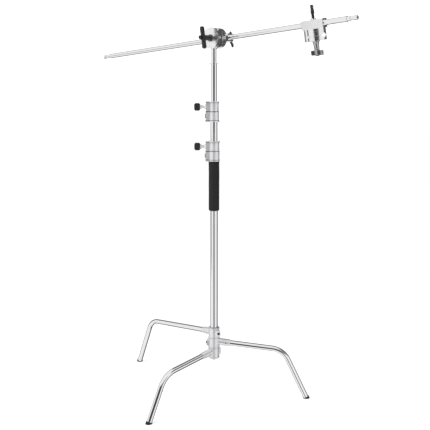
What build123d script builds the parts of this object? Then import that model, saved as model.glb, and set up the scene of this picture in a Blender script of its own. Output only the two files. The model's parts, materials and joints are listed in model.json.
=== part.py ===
"""A C-stand: sliding-leg base, two telescoping risers, and an extension arm with two grip heads.

The stand rests on the floor plane, with its origin under the column axis and +Z up. The arm lies
in an upright plane parallel to XZ, behind the column, and the stand head's handle points to -Y.
"""
from build123d import *
from math import atan, cos, degrees, radians, sin, sqrt, tan
import os

os.makedirs("parts", exist_ok=True)

# ---------------------------------------------------------------- driving dimensions, mm and degrees
# Fits
running_gap = 0.05  # radial, a piece that turns or slides on its guide
free_gap = 0.4  # radial, pieces that pass without touching
touch_gap = 0.25  # a screw or a jaw that stops just short of the round piece it grips

# Column
base_tube_od = 25.0
middle_tube_od = 22.0
top_tube_od = 19.0
tube_wall = 1.1
middle_tube_length = 690.0
top_tube_length = 690.0
lower_collar_floor = 790.5
middle_exposed = 60.0  # between the two collars
top_exposed = 112.0  # between the upper collar and the stud's shoulder
stud_od = 15.9  # the 5/8 inch stud of grip gear
stud_chamfer = 1.5
stud_spigot = 25.0
shoulder_od = 23.0
shoulder_height = 4.0

# Base fittings
hub_floor_clearance = 147.0
hub_height = 33.0
hub_spacer = 1.2
hub_spacer_od = 31.0
plug_length = 22.0
cap_od = 32.0
cap_height = 3.2
cap_chamfer = 0.8
bottom_bolt_od = 8.0
bottom_bolt_head_od = 10.0
bottom_bolt_head = 5.0

# Leg hubs
hub_od = 34.0
hub_rim_od = 37.0
hub_rim_height = 3.0
socket_od = 24.0
socket_mouth_od = 21.5
socket_reach = 52.0
lug_reach = 24.0
lug_width = 15.0
lug_height = 21.0
lug_fillet = 2.5
hub_screw_od = 5.0
hub_screw_head_od = 8.0
hub_screw_head = 2.5

# Legs, named after the hub that carries them
leg_od = 18.0
leg_wall = 1.3
leg_bend_radius = 70.0
leg_slope = 8.4  # fall of the upper run below level
leg_splay = 25.3  # lean of the lower run from upright
leg_azimuth = {"upper": 169.0, "middle": 41.9, "lower": 262.3}
leg_reach = {"upper": 445.0, "middle": 307.0, "lower": 271.0}  # column axis to middle of the foot
leg_rise = {"upper": 2.0, "middle": 4.5, "lower": 6.5}  # leg axis over the middle of its hub
leg_seat = 22.0  # from the column axis to the inner end of the tube
leg_pin_at = 38.0
leg_pin_od = 4.0
foot_wall = 1.3
foot_height = 9.0
foot_floor = 3.0

# Foam grip
grip_od = 34.0
grip_length = 157.0

# Lock collars
collar_height = 62.5
collar_split = 31.0  # top of the outer tube, over the collar's underside
collar_wall = 5.0
collar_step = 1.0
collar_rim = 1.2
collar_rim_height = 3.4
collar_lug_reach = 26.0
collar_lug_width = 21.0
collar_lip = 2.0
lock_azimuth = 220.0
lock_rise = 45.5
lock_boss_od = 16.0
lock_boss_tip_od = 10.5
lock_boss_height = 6.0
lock_screw_od = 8.0
lock_flare_od = 14.0
lock_flare_length = 6.5
lock_neck_od = 8.5
lock_tail = 12.0  # screw moulded into the knob
knob_start = 43.0  # from the column axis
knob_length = 18.4
knob_od = 24.0
knob_flutes = 12
knob_flute_od = 3.4
clamp_rise = 17.5
clamp_screw_od = 6.0
clamp_head_od = 14.0
clamp_head = 3.0
clamp_chamfer = 1.0
pad_thickness = 1.6

# Grip heads, measured along the head's axis from the middle of its receiver block
disc_od = 63.5  # the 2-1/2 inch head of grip gear
block_length = 72.0
block_width = 24.0
block_height = 25.0
block_fillet = 1.6
back_disc = 7.5
jaw_thickness = 12.5
groove_depth = 7.5
small_groove_depth = 3.2
groove_offset = 22.0
closed_jaw_gap = 0.5
centre_bolt_od = 12.0
centre_bolt_start = 9.5
centre_bolt_chamfer = 1.2
centre_bolt_end = {"stand": 8.0, "hung": 1.5}  # beyond the handle
washer_od = 24.0
washer_thickness = 2.0
handle_hub_od = 19.0
handle_neck_od = 15.0
handle_hub_length = 24.0
handle_span = 64.0
handle_width = 7.5
handle_depth = 15.0
handle_sweep = 3.0
handle_fillet = 2.4
receiver_boss_od = 16.0
receiver_boss_height = 4.0
receiver_screw_od = 8.0
small_hub_od = 11.0
small_hub_start = 29.0
small_hub_length = 14.0
small_handle_span = 45.0
small_handle_width = 6.5
small_handle_depth = 8.5
small_handle_sweep = 10.0
small_handle_fillet = 2.0

# Arm
arm_od = 15.9
arm_wall = 1.4
arm_tilt = 4.7
arm_height = 1165.5
arm_left = 540.0  # from the stand head to the left tip
arm_right = 474.0
spigot_od = 12.7
spigot_waist_od = 9.5
spigot_length = 32.0
spigot_waist_from = 10.0  # from the tip
spigot_waist_length = 12.0
spigot_seat = 25.0
hung_head_at = 335.0  # along the arm from the stand head
hung_head_roll = 8.0

# Turn of each head's jaws and handles about the head's own axis
head_turn = {
    "stand": {"jaws": -arm_tilt, "handle": 88.0, "small": 97.0},
    "hung": {"jaws": -40.0, "handle": 24.0, "small": 62.0},
}

# ---------------------------------------------------------------- places that follow from the sizes
base_tube_top = lower_collar_floor + collar_split
upper_collar_floor = lower_collar_floor + collar_height + middle_exposed
middle_tube_top = upper_collar_floor + collar_split
shoulder_floor = upper_collar_floor + collar_height + top_exposed
hub_floor = {
    "lower": hub_floor_clearance,
    "middle": hub_floor_clearance + hub_height + hub_spacer,
    "upper": hub_floor_clearance + 2 * (hub_height + hub_spacer),
}
hub_stack_top = hub_floor["upper"] + hub_height
gripped_gap = 2 * ((stud_od / 2 + touch_gap) * sqrt(2) - groove_depth)
inner_jaw_face = block_height / 2 + back_disc + jaw_thickness
arm_setback = inner_jaw_face + gripped_gap / 2
jaw_gap = {"stand": gripped_gap, "hung": closed_jaw_gap}

arm_direction = Vector(cos(radians(arm_tilt)), 0, sin(radians(arm_tilt)))
arm_middle = Vector(0, arm_setback, arm_height)
arm_plane = Plane(origin=arm_middle, x_dir=arm_direction, z_dir=(0, -1, 0))
hanging = Vector(sin(radians(arm_tilt)), 0, -cos(radians(arm_tilt)))
rolled = hanging * cos(radians(hung_head_roll)) + Vector(0, sin(radians(hung_head_roll)), 0)
head_plane = {
    "stand": arm_plane,
    "hung": Plane(arm_middle + arm_direction * hung_head_at, x_dir=arm_direction, z_dir=rolled),
}


def upright_plane(azimuth):
    """Upright plane through the column axis: local x is outward and local y is up."""
    outward = Vector(cos(radians(azimuth)), sin(radians(azimuth)), 0)
    return Plane(origin=(0, 0, 0), x_dir=outward, z_dir=outward.cross(Vector(0, 0, 1)))


def outward_plane(azimuth, height, reach):
    """Plane square to an azimuth: its normal points outward and its local y is up."""
    outward = Vector(cos(radians(azimuth)), sin(radians(azimuth)), 0)
    side = Vector(0, 0, 1).cross(outward)
    return Plane(origin=outward * reach + Vector(0, 0, height), x_dir=side, z_dir=outward)


def turned(plane, angle):
    """The same plane, turned about its own normal."""
    across = plane.x_dir * cos(radians(angle)) + plane.y_dir * sin(radians(angle))
    return Plane(origin=plane.origin, x_dir=across, z_dir=plane.z_dir)


def write(piece, name):
    """Label a finished piece and save it under its own name."""
    piece.label = name
    export_step(piece, f"parts/{name}.step")


def write_tube(name, floor, top, outer, inner):
    """A plain round tube on the column axis."""
    with BuildPart() as tube:
        with BuildSketch(Plane.XY.offset(floor)):
            Circle(outer / 2)
            Circle(inner / 2, mode=Mode.SUBTRACT)
        extrude(amount=top - floor)
    write(tube.part, name)


# ---------------------------------------------------------------- column tubes
base_tube_id = base_tube_od - 2 * tube_wall
middle_tube_id = middle_tube_od - 2 * tube_wall
top_tube_id = top_tube_od - 2 * tube_wall

write_tube("base_tube", hub_floor_clearance, base_tube_top, base_tube_od, base_tube_id)
middle_tube_floor = middle_tube_top - middle_tube_length
write_tube("middle_tube", middle_tube_floor, middle_tube_top, middle_tube_od, middle_tube_id)
write_tube("top_tube", shoulder_floor - top_tube_length, shoulder_floor, top_tube_od, top_tube_id)

stud_top = arm_height - centre_bolt_od / 2 - free_gap
with BuildPart() as top_stud:
    with BuildSketch(Plane.XY.offset(shoulder_floor - stud_spigot)):
        Circle(top_tube_id / 2)
    extrude(amount=stud_spigot)
    with BuildSketch(Plane.XY.offset(shoulder_floor)):
        Circle(shoulder_od / 2)
    extrude(amount=shoulder_height)
    with BuildSketch(Plane.XY.offset(shoulder_floor + shoulder_height)):
        Circle(stud_od / 2)
    extrude(amount=stud_top - shoulder_floor - shoulder_height)
    chamfer(top_stud.edges().group_by(Axis.Z)[-1], stud_chamfer)
write(top_stud.part, "top_stud")

# ---------------------------------------------------------------- base fittings
with BuildPart() as bottom_plug:
    with BuildSketch(Plane.XY.offset(hub_floor_clearance)):
        Circle(base_tube_id / 2)
        Circle(bottom_bolt_od / 2, mode=Mode.SUBTRACT)
    extrude(amount=plug_length)
write(bottom_plug.part, "bottom_plug")

with BuildPart() as bottom_cap:
    with BuildSketch(Plane.XY.offset(hub_floor_clearance - cap_height)):
        Circle(cap_od / 2)
        Circle(bottom_bolt_od / 2, mode=Mode.SUBTRACT)
    extrude(amount=cap_height)
    chamfer(bottom_cap.edges().group_by(Axis.Z)[0].sort_by(SortBy.LENGTH)[-1], cap_chamfer)
write(bottom_cap.part, "bottom_cap")

with BuildPart() as bottom_bolt:
    with BuildSketch(Plane.XY.offset(hub_floor_clearance - cap_height)):
        Circle(bottom_bolt_od / 2)
    extrude(amount=cap_height + plug_length - hub_spacer)
    with BuildSketch(Plane.XY.offset(hub_floor_clearance - cap_height)):
        RegularPolygon(bottom_bolt_head_od / 2, 6)
    extrude(amount=-bottom_bolt_head)
write(bottom_bolt.part, "bottom_bolt")

with BuildPart() as hub_spacers:
    for floor in (hub_floor["middle"] - hub_spacer, hub_floor["upper"] - hub_spacer):
        with BuildSketch(Plane.XY.offset(floor)):
            Circle(hub_spacer_od / 2)
            Circle(base_tube_od / 2, mode=Mode.SUBTRACT)
        extrude(amount=hub_spacer)
write(hub_spacers.part, "hub_spacers")

write_tube("stop_ring", hub_stack_top, hub_stack_top + 2 * hub_spacer, hub_spacer_od, base_tube_od)

# ---------------------------------------------------------------- foam grip
with BuildPart() as foam_grip:
    with BuildSketch(Plane.XY.offset(lower_collar_floor - grip_length)):
        Circle(grip_od / 2)
    extrude(amount=grip_length)
    fillet(foam_grip.edges(), (grip_od - base_tube_od) / 2 - free_gap)
    with BuildSketch(Plane.XY.offset(lower_collar_floor - grip_length)):
        Circle(base_tube_od / 2)
    extrude(amount=grip_length, mode=Mode.SUBTRACT)
write(foam_grip.part, "foam_grip")


# ---------------------------------------------------------------- legs
def build_leg(name):
    """One leg: its hub, bent tube, cross pin, rubber foot and hub screw."""
    azimuth = leg_azimuth[name]
    floor = hub_floor[name]
    axis_height = floor + hub_height / 2 + leg_rise[name]
    fall = tan(radians(leg_slope))
    lean = tan(radians(leg_splay))
    knee_reach = (leg_reach[name] / lean - axis_height) / (1 / lean - fall)
    knee_height = axis_height - knee_reach * fall
    upright = upright_plane(azimuth)
    run_direction = upright.from_local_coords(Vector(cos(radians(leg_slope)), -sin(radians(leg_slope))))
    side = upright.z_dir

    def run_plane(reach):
        """Plane square to the leg's upper run, at a reach from the column axis."""
        start = upright.from_local_coords(Vector(reach, axis_height - reach * fall))
        return Plane(origin=start, x_dir=side, z_dir=run_direction)

    run_scale = 1 / cos(radians(leg_slope))
    below_floor = -leg_od

    with BuildPart() as pin:
        middle = upright.from_local_coords(Vector(leg_pin_at, axis_height - leg_pin_at * fall))
        with BuildSketch(Plane(origin=middle, x_dir=run_direction, z_dir=side)):
            Circle(leg_pin_od / 2)
        extrude(amount=socket_od / 2, both=True)
    write(pin.part, f"leg_pin_{name}")

    with BuildPart() as tube:
        with BuildLine(upright) as path:
            FilletPolyline(
                (leg_seat, axis_height - leg_seat * fall),
                (knee_reach, knee_height),
                (leg_reach[name] - below_floor * lean, below_floor),
                radius=leg_bend_radius,
            )
        with BuildSketch(run_plane(leg_seat)):
            Circle(leg_od / 2)
            Circle(leg_od / 2 - leg_wall, mode=Mode.SUBTRACT)
        sweep(path=path.line)
        split(bisect_by=Plane.XY.offset(foot_floor), keep=Keep.TOP)
        add(pin.part, mode=Mode.SUBTRACT)
    write(tube.part, f"leg_tube_{name}")

    with BuildPart() as foot:
        foot_base = upright.from_local_coords(Vector(leg_reach[name] - below_floor * lean, below_floor))
        foot_run = upright.from_local_coords(Vector(-sin(radians(leg_splay)), cos(radians(leg_splay))))
        with BuildSketch(Plane(origin=foot_base, x_dir=side, z_dir=foot_run)):
            Circle(leg_od / 2 + foot_wall)
        extrude(amount=2 * leg_od - 2 * below_floor)
        split(bisect_by=Plane.XY, keep=Keep.TOP)
        split(bisect_by=Plane.XY.offset(foot_height), keep=Keep.BOTTOM)
        add(tube.part, mode=Mode.SUBTRACT)
    write(foot.part, f"foot_{name}")

    with BuildPart() as screw:
        screw_start = base_tube_od / 2 + running_gap + free_gap
        with BuildSketch(outward_plane(azimuth + 180, floor + hub_height / 2, screw_start)):
            Circle(hub_screw_od / 2)
        extrude(amount=lug_reach - screw_start)
        with BuildSketch(outward_plane(azimuth + 180, floor + hub_height / 2, lug_reach)):
            RegularPolygon(hub_screw_head_od / 2, 6)
        extrude(amount=hub_screw_head)
    write(screw.part, f"hub_screw_{name}")

    with BuildPart() as hub:
        with BuildSketch(Plane.XY.offset(floor)):
            Circle(hub_od / 2)
        extrude(amount=hub_height)
        for rim_floor in (floor, floor + hub_height - hub_rim_height):
            with BuildSketch(Plane.XY.offset(rim_floor)):
                Circle(hub_rim_od / 2)
            extrude(amount=hub_rim_height)
        socket_start = base_tube_od / 2
        socket_length = (socket_reach - socket_start) * run_scale
        with BuildSketch(run_plane(socket_start)):
            Circle(socket_od / 2)
        socket_taper = degrees(atan((socket_od - socket_mouth_od) / 2 / socket_length))
        extrude(amount=socket_length, taper=socket_taper)
        with BuildSketch(outward_plane(azimuth + 180, floor + hub_height / 2, 0)):
            RectangleRounded(lug_width, lug_height, lug_fillet)
        extrude(amount=lug_reach)
        with BuildSketch(Plane.XY.offset(floor)):
            Circle(base_tube_od / 2 + running_gap)
        extrude(amount=hub_height, mode=Mode.SUBTRACT)
        with BuildSketch(run_plane(leg_seat)):
            Circle(leg_od / 2)
        extrude(amount=socket_length, mode=Mode.SUBTRACT)
        add(pin.part, mode=Mode.SUBTRACT)
        add(screw.part, mode=Mode.SUBTRACT)
    write(hub.part, f"hub_{name}")


for leg_name in hub_floor:
    build_leg(leg_name)


# ---------------------------------------------------------------- lock collars
def build_collar(name, floor, outer_od, inner_od):
    """One lock collar with its bush, set screw, pad, lock screw and knob."""
    lock_height = floor + lock_rise
    clamp_height = floor + clamp_rise
    bush_floor = floor + collar_split
    bush_top = floor + collar_height - collar_lip
    pad_start = inner_od / 2 + touch_gap

    with BuildPart() as pad:
        with BuildSketch(outward_plane(lock_azimuth, lock_height, pad_start)):
            Circle(lock_screw_od / 2)
        extrude(amount=pad_thickness)
    write(pad.part, f"{name}_lock_pad")

    with BuildPart() as screw:
        with BuildSketch(outward_plane(lock_azimuth, lock_height, pad_start + pad_thickness)):
            Circle(lock_screw_od / 2)
        extrude(amount=knob_start + lock_tail - pad_start - pad_thickness)
        with BuildSketch(outward_plane(lock_azimuth, lock_height, knob_start)):
            Circle(lock_flare_od / 2)
        flare_taper = degrees(atan((lock_flare_od - lock_neck_od) / 2 / lock_flare_length))
        extrude(amount=-lock_flare_length, taper=flare_taper)
    write(screw.part, f"{name}_lock_screw")

    with BuildPart() as knob:
        with BuildSketch(outward_plane(lock_azimuth, lock_height, knob_start)):
            Circle(knob_od / 2)
            with PolarLocations(knob_od / 2, knob_flutes):
                Circle(knob_flute_od / 2, mode=Mode.SUBTRACT)
        extrude(amount=knob_length)
        with BuildSketch(outward_plane(lock_azimuth, lock_height, knob_start)):
            Circle(lock_screw_od / 2)
        extrude(amount=lock_tail, mode=Mode.SUBTRACT)
    write(knob.part, f"{name}_knob")

    with BuildPart() as clamp_bolt:
        with BuildSketch(outward_plane(lock_azimuth, clamp_height, outer_od / 2)):
            Circle(clamp_screw_od / 2)
        extrude(amount=collar_lug_reach - outer_od / 2)
        with BuildSketch(outward_plane(lock_azimuth, clamp_height, collar_lug_reach)):
            Circle(clamp_head_od / 2)
        extrude(amount=clamp_head)
        lug_way = outward_plane(lock_azimuth, clamp_height, 0)
        head_face = clamp_bolt.faces().sort_by(Axis(lug_way.origin, lug_way.z_dir))[-1]
        chamfer(head_face.edges(), clamp_chamfer)
    write(clamp_bolt.part, f"{name}_clamp_bolt")

    with BuildPart() as bush:
        with BuildSketch(Plane.XY.offset(bush_floor)):
            Circle(outer_od / 2)
            Circle(inner_od / 2 + running_gap, mode=Mode.SUBTRACT)
        extrude(amount=bush_top - bush_floor)
        with BuildSketch(outward_plane(lock_azimuth, lock_height, 0)):
            Circle(lock_screw_od / 2 + running_gap)
        extrude(amount=outer_od, mode=Mode.SUBTRACT)
    write(bush.part, f"{name}_bush")

    with BuildPart() as collar:
        lug_turn = Location((0, 0, 0), (0, 0, lock_azimuth))
        layers = (
            (floor, collar_split, 0.0),
            (floor + collar_split, collar_height - collar_split, -collar_step),
            (floor, collar_rim_height, collar_rim),
            (floor + collar_height - collar_rim_height, collar_rim_height, collar_rim),
        )
        for layer_floor, layer_height, swell in layers:
            with BuildSketch(Plane.XY.offset(layer_floor)):
                Circle(outer_od / 2 + collar_wall + swell)
                with Locations(lug_turn):
                    lug_length = collar_lug_reach + min(swell, 0.0)
                    with Locations((lug_length / 2, 0)):
                        Rectangle(lug_length, collar_lug_width + 2 * swell)
            extrude(amount=layer_height)
        with BuildSketch(outward_plane(lock_azimuth, lock_height, collar_lug_reach - collar_step)):
            Circle(lock_boss_od / 2)
        boss_taper = degrees(atan((lock_boss_od - lock_boss_tip_od) / 2 / lock_boss_height))
        extrude(amount=lock_boss_height, taper=boss_taper)
        with BuildSketch(Plane.XY.offset(floor)):
            Circle(outer_od / 2)
        extrude(amount=bush_top - floor, mode=Mode.SUBTRACT)
        with BuildSketch(Plane.XY.offset(bush_top)):
            Circle(inner_od / 2 + free_gap)
        extrude(amount=collar_lip, mode=Mode.SUBTRACT)
        with BuildSketch(outward_plane(lock_azimuth, lock_height, 0)):
            Circle(lock_screw_od / 2 + running_gap)
        extrude(amount=2 * collar_lug_reach, mode=Mode.SUBTRACT)
        with BuildSketch(outward_plane(lock_azimuth, clamp_height, 0)):
            Circle(clamp_screw_od / 2)
        extrude(amount=2 * collar_lug_reach, mode=Mode.SUBTRACT)
    write(collar.part, f"{name}_collar")


build_collar("lower", lower_collar_floor, base_tube_od, middle_tube_od)
build_collar("upper", upper_collar_floor, middle_tube_od, top_tube_od)


# ---------------------------------------------------------------- grip heads
def jaw_grooves(face_plane, away):
    """What a jaw's face loses, away from the gap: two rod grooves and half a stud seat."""
    along = Plane(origin=face_plane.origin, x_dir=face_plane.x_dir, z_dir=-face_plane.y_dir)
    with BuildPart() as cutter:
        for offset, depth in ((groove_offset, groove_depth), (-groove_offset, small_groove_depth)):
            with BuildSketch(along):
                with BuildLine():
                    Polyline(
                        (offset - depth, 0), (offset + depth, 0), (offset, away * depth), close=True
                    )
                make_face()
            extrude(amount=disc_od, both=True)
        with BuildSketch(along):
            with BuildLine():
                Polyline(
                    (-groove_depth, 0), (groove_depth, 0), (0, away * groove_depth), close=True
                )
            make_face()
        extrude(amount=disc_od)
    return cutter.part


def build_head(name):
    """One grip head: body, bolt, two jaws, washer, main handle, receiver screw and its handle."""
    plane = head_plane[name]
    turn = head_turn[name]
    jaw_plane = turned(plane, turn["jaws"])
    outer_jaw_face = inner_jaw_face + jaw_gap[name]
    outer_jaw_back = outer_jaw_face + jaw_thickness
    handle_start = outer_jaw_back + washer_thickness
    bar_start = handle_start + handle_hub_length
    bolt_top = bar_start + handle_depth + centre_bolt_end[name]

    with BuildPart() as bolt:
        with BuildSketch(plane.offset(centre_bolt_start)):
            Circle(centre_bolt_od / 2)
        extrude(amount=bolt_top - centre_bolt_start)
        bolt_tip = bolt.faces().sort_by(Axis(plane.origin, plane.z_dir))[-1]
        chamfer(bolt_tip.edges(), centre_bolt_chamfer)
    write(bolt.part, f"{name}_centre_bolt")

    with BuildPart() as body:
        with BuildSketch(plane.offset(-block_height / 2)):
            RectangleRounded(block_length, block_width, block_fillet)
        extrude(amount=block_height)
        with BuildSketch(plane.offset(block_height / 2)):
            Circle(disc_od / 2)
        extrude(amount=back_disc)
        with BuildSketch(plane.offset(-block_height / 2)):
            Circle(receiver_boss_od / 2)
        extrude(amount=-receiver_boss_height)
        bore = Plane(origin=plane.origin, x_dir=plane.z_dir, z_dir=plane.x_dir)
        with BuildSketch(bore):
            Circle(arm_od / 2 + running_gap)
        extrude(amount=block_length, both=True, mode=Mode.SUBTRACT)
        with BuildSketch(plane):
            Circle(receiver_screw_od / 2 + running_gap)
        extrude(amount=-block_height, mode=Mode.SUBTRACT)
        add(bolt.part, mode=Mode.SUBTRACT)
    write(body.part, f"{name}_head_body")

    with BuildPart() as inner_jaw:
        with BuildSketch(jaw_plane.offset(inner_jaw_face - jaw_thickness)):
            Circle(disc_od / 2)
            Circle(centre_bolt_od / 2 + free_gap, mode=Mode.SUBTRACT)
        extrude(amount=jaw_thickness)
        add(jaw_grooves(jaw_plane.offset(inner_jaw_face), -1), mode=Mode.SUBTRACT)
    write(inner_jaw.part, f"{name}_inner_jaw")

    with BuildPart() as outer_jaw:
        with BuildSketch(jaw_plane.offset(outer_jaw_face)):
            Circle(disc_od / 2)
            Circle(centre_bolt_od / 2 + free_gap, mode=Mode.SUBTRACT)
        extrude(amount=jaw_thickness)
        add(jaw_grooves(jaw_plane.offset(outer_jaw_face), 1), mode=Mode.SUBTRACT)
    write(outer_jaw.part, f"{name}_outer_jaw")

    with BuildPart() as washer:
        with BuildSketch(plane.offset(outer_jaw_back)):
            Circle(washer_od / 2)
            Circle(centre_bolt_od / 2 + free_gap, mode=Mode.SUBTRACT)
        extrude(amount=washer_thickness)
    write(washer.part, f"{name}_thrust_washer")

    with BuildPart() as handle:
        handle_plane = turned(plane, turn["handle"])
        with BuildSketch(handle_plane.offset(bar_start)):
            with BuildLine():
                half = handle_span / 2
                near = Spline(
                    (-half, -handle_sweep - handle_width / 2),
                    (0, -handle_width / 2),
                    (half, handle_sweep - handle_width / 2),
                    tangents=((1, 0), (1, 0)),
                )
                far = Spline(
                    (-half, -handle_sweep + handle_width / 2),
                    (0, handle_width / 2),
                    (half, handle_sweep + handle_width / 2),
                    tangents=((1, 0), (1, 0)),
                )
                ThreePointArc(near @ 0, (-half - handle_width / 2, -handle_sweep), far @ 0)
                ThreePointArc(near @ 1, (half + handle_width / 2, handle_sweep), far @ 1)
            make_face()
        extrude(amount=handle_depth)
        fillet(handle.edges().filter_by(GeomType.LINE, reverse=True), handle_fillet)
        with BuildSketch(handle_plane.offset(handle_start)):
            Circle(handle_hub_od / 2)
        hub_taper = degrees(atan((handle_hub_od - handle_neck_od) / 2 / handle_hub_length))
        extrude(amount=handle_hub_length, taper=hub_taper)
        with BuildSketch(handle_plane.offset(bar_start)):
            Circle(handle_neck_od / 2)
        extrude(amount=handle_depth)
        with BuildSketch(handle_plane.offset(handle_start)):
            Circle(centre_bolt_od / 2 + running_gap)
        extrude(amount=handle_hub_length + handle_depth, mode=Mode.SUBTRACT)
    write(handle.part, f"{name}_handle")

    small_plane = turned(plane, turn["small"])
    screw_tip = arm_od / 2 + touch_gap
    with BuildPart() as screw:
        with BuildSketch(small_plane.offset(-screw_tip)):
            Circle(receiver_screw_od / 2)
        extrude(amount=-(small_hub_start + small_hub_length / 2 - screw_tip))
    write(screw.part, f"{name}_receiver_screw")

    with BuildPart() as small_handle:
        bar_middle = small_hub_start + small_hub_length - small_handle_depth / 2
        along = Plane(origin=small_plane.origin, x_dir=small_plane.x_dir, z_dir=small_plane.y_dir)
        with BuildSketch(along):
            with BuildLine():
                reach = small_handle_span / 2
                rise = bar_middle + small_handle_sweep
                half_depth = small_handle_depth / 2
                inner = ThreePointArc(
                    (-reach, rise - half_depth), (0, bar_middle - half_depth), (reach, rise - half_depth)
                )
                outer = ThreePointArc(
                    (-reach, rise + half_depth), (0, bar_middle + half_depth), (reach, rise + half_depth)
                )
                ThreePointArc(inner @ 0, (-reach - half_depth, rise), outer @ 0)
                ThreePointArc(inner @ 1, (reach + half_depth, rise), outer @ 1)
            make_face()
        extrude(amount=small_handle_width / 2, both=True)
        fillet(small_handle.edges(), small_handle_fillet)
        with BuildSketch(small_plane.offset(-small_hub_start)):
            Circle(small_hub_od / 2)
        extrude(amount=-small_hub_length)
        add(screw.part, mode=Mode.SUBTRACT)
    write(small_handle.part, f"{name}_small_handle")


for head_name in head_plane:
    build_head(head_name)

# ---------------------------------------------------------------- arm
with BuildPart() as arm_tube:
    arm_start = arm_middle - arm_direction * (arm_left - spigot_length)
    with BuildSketch(Plane(origin=arm_start, x_dir=(0, 1, 0), z_dir=arm_direction)):
        Circle(arm_od / 2)
        Circle(arm_od / 2 - arm_wall, mode=Mode.SUBTRACT)
    extrude(amount=arm_left + arm_right - 2 * spigot_length)
write(arm_tube.part, "arm_tube")

for side_name, way, reach in (("left", -1, arm_left), ("right", 1, arm_right)):
    with BuildPart() as spigot:
        outward = arm_direction * way
        tip = arm_middle + outward * reach
        profile = Plane(origin=tip, x_dir=-outward, z_dir=(0, 1, 0))
        seat_radius = arm_od / 2 - arm_wall
        neck = spigot_waist_from + spigot_waist_length
        cone = (spigot_od - spigot_waist_od) / 2
        with BuildSketch(profile):
            with BuildLine():
                Polyline(
                    (0, 0),
                    (0, spigot_od / 2 - cone),
                    (cone, spigot_od / 2),
                    (spigot_waist_from, spigot_od / 2),
                    (spigot_waist_from + cone, spigot_waist_od / 2),
                    (neck - cone, spigot_waist_od / 2),
                    (neck, spigot_od / 2),
                    (spigot_length, spigot_od / 2),
                    (spigot_length, seat_radius),
                    (spigot_length + spigot_seat, seat_radius),
                    (spigot_length + spigot_seat, 0),
                    close=True,
                )
            make_face()
        revolve(axis=Axis(tip, outward))
    write(spigot.part, f"arm_spigot_{side_name}")
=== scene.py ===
import json
import math

import bmesh
import bpy
from mathutils import Matrix, Vector


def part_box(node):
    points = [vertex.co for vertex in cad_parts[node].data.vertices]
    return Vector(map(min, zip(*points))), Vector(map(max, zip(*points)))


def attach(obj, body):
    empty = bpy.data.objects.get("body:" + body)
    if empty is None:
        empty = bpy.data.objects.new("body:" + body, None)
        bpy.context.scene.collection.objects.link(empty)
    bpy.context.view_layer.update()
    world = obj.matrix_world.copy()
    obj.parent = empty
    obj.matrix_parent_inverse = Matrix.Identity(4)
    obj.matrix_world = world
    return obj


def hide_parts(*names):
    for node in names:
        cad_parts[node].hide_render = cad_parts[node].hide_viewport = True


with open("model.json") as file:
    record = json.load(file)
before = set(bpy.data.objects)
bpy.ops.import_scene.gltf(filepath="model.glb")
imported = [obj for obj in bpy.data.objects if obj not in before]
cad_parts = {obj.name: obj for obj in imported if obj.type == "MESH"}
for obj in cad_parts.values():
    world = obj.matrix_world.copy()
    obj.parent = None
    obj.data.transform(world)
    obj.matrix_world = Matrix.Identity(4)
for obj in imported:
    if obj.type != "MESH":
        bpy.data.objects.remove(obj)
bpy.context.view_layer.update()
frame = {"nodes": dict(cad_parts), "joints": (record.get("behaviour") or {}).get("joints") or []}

joints = {joint["name"]: joint for joint in frame["joints"]}
Z_AXIS = Vector((0, 0, 1))

# ---------------------------------------------------------------------------- studio
# A white cove with soft daylight all round. Polished tubes need something dark to mirror, so the
# cove holds a dark upright screen in front, a ring of dark flags behind the stand that starts
# nearer on its right, one flag high on the right and a narrow dark strip low on the left.
camera_turn = math.radians(40)
camera_pitch = math.radians(10)
camera_data = bpy.data.cameras.new("camera")
camera_data.lens = 62.79
camera = bpy.data.objects.new("camera", camera_data)
camera.location = (1.5078, -1.7920, 1.032)
camera.rotation_euler = (math.pi / 2 - camera_pitch, 0, camera_turn)
bpy.context.scene.collection.objects.link(camera)
bpy.context.scene.camera = camera
bpy.context.scene.view_settings.view_transform = "Standard"

world = bpy.data.worlds.new("studio")
bpy.context.scene.world = world
world.use_nodes = True
studio = world.node_tree
studio.nodes.clear()


def studio_math(operation, *values):
    """A math node of the studio's light, with its inputs linked or set."""
    node = studio.nodes.new("ShaderNodeMath")
    node.operation = operation
    for socket, value in zip(node.inputs, values):
        if isinstance(value, (int, float)):
            socket.default_value = value
        else:
            studio.links.new(value, socket)
    return node.outputs[0]


def studio_ramp(value, low, high):
    """0 below low and 1 above high, smooth between them."""
    node = studio.nodes.new("ShaderNodeMapRange")
    node.interpolation_type = "SMOOTHSTEP"
    studio.links.new(value, node.inputs["Value"])
    node.inputs["From Min"].default_value = low
    node.inputs["From Max"].default_value = high
    return node.outputs[0]


def studio_dot(direction, axis):
    """How far a direction points along an axis."""
    node = studio.nodes.new("ShaderNodeVectorMath")
    node.operation = "DOT_PRODUCT"
    studio.links.new(direction, node.inputs[0])
    node.inputs[1].default_value = axis
    return node.outputs["Value"]


flat_front = Vector((math.sin(camera_turn), -math.cos(camera_turn), 0))
front = flat_front * math.cos(camera_pitch) + Z_AXIS * math.sin(camera_pitch)
right_hand = Vector((math.cos(camera_turn), math.sin(camera_turn), 0))
direction = studio.nodes.new("ShaderNodeTexCoord").outputs["Generated"]
azimuth = studio_math(
    "ABSOLUTE",
    studio_math("ARCTAN2", studio_dot(direction, right_hand), studio_dot(direction, flat_front)),
)
height = studio_dot(direction, Z_AXIS)
screen_dark = 0.93
flags_dark = 0.9
cove_light = 1.12
seen_light = 1.6
screen_waist = studio_math("MULTIPLY_ADD", studio_ramp(height, -0.14, 0.0), 0.26, 0.30)
screen_width = studio_math("MULTIPLY_ADD", studio_ramp(height, 0.06, 0.16), 0.3, screen_waist)
screen_side = studio_ramp(studio_math("SUBTRACT", screen_width, azimuth), -0.03, 0.05)
screen_top = studio_math("SUBTRACT", 1.0, studio_ramp(height, 0.30, 0.42))
screen_foot = studio_ramp(height, -0.62, -0.5)
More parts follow.
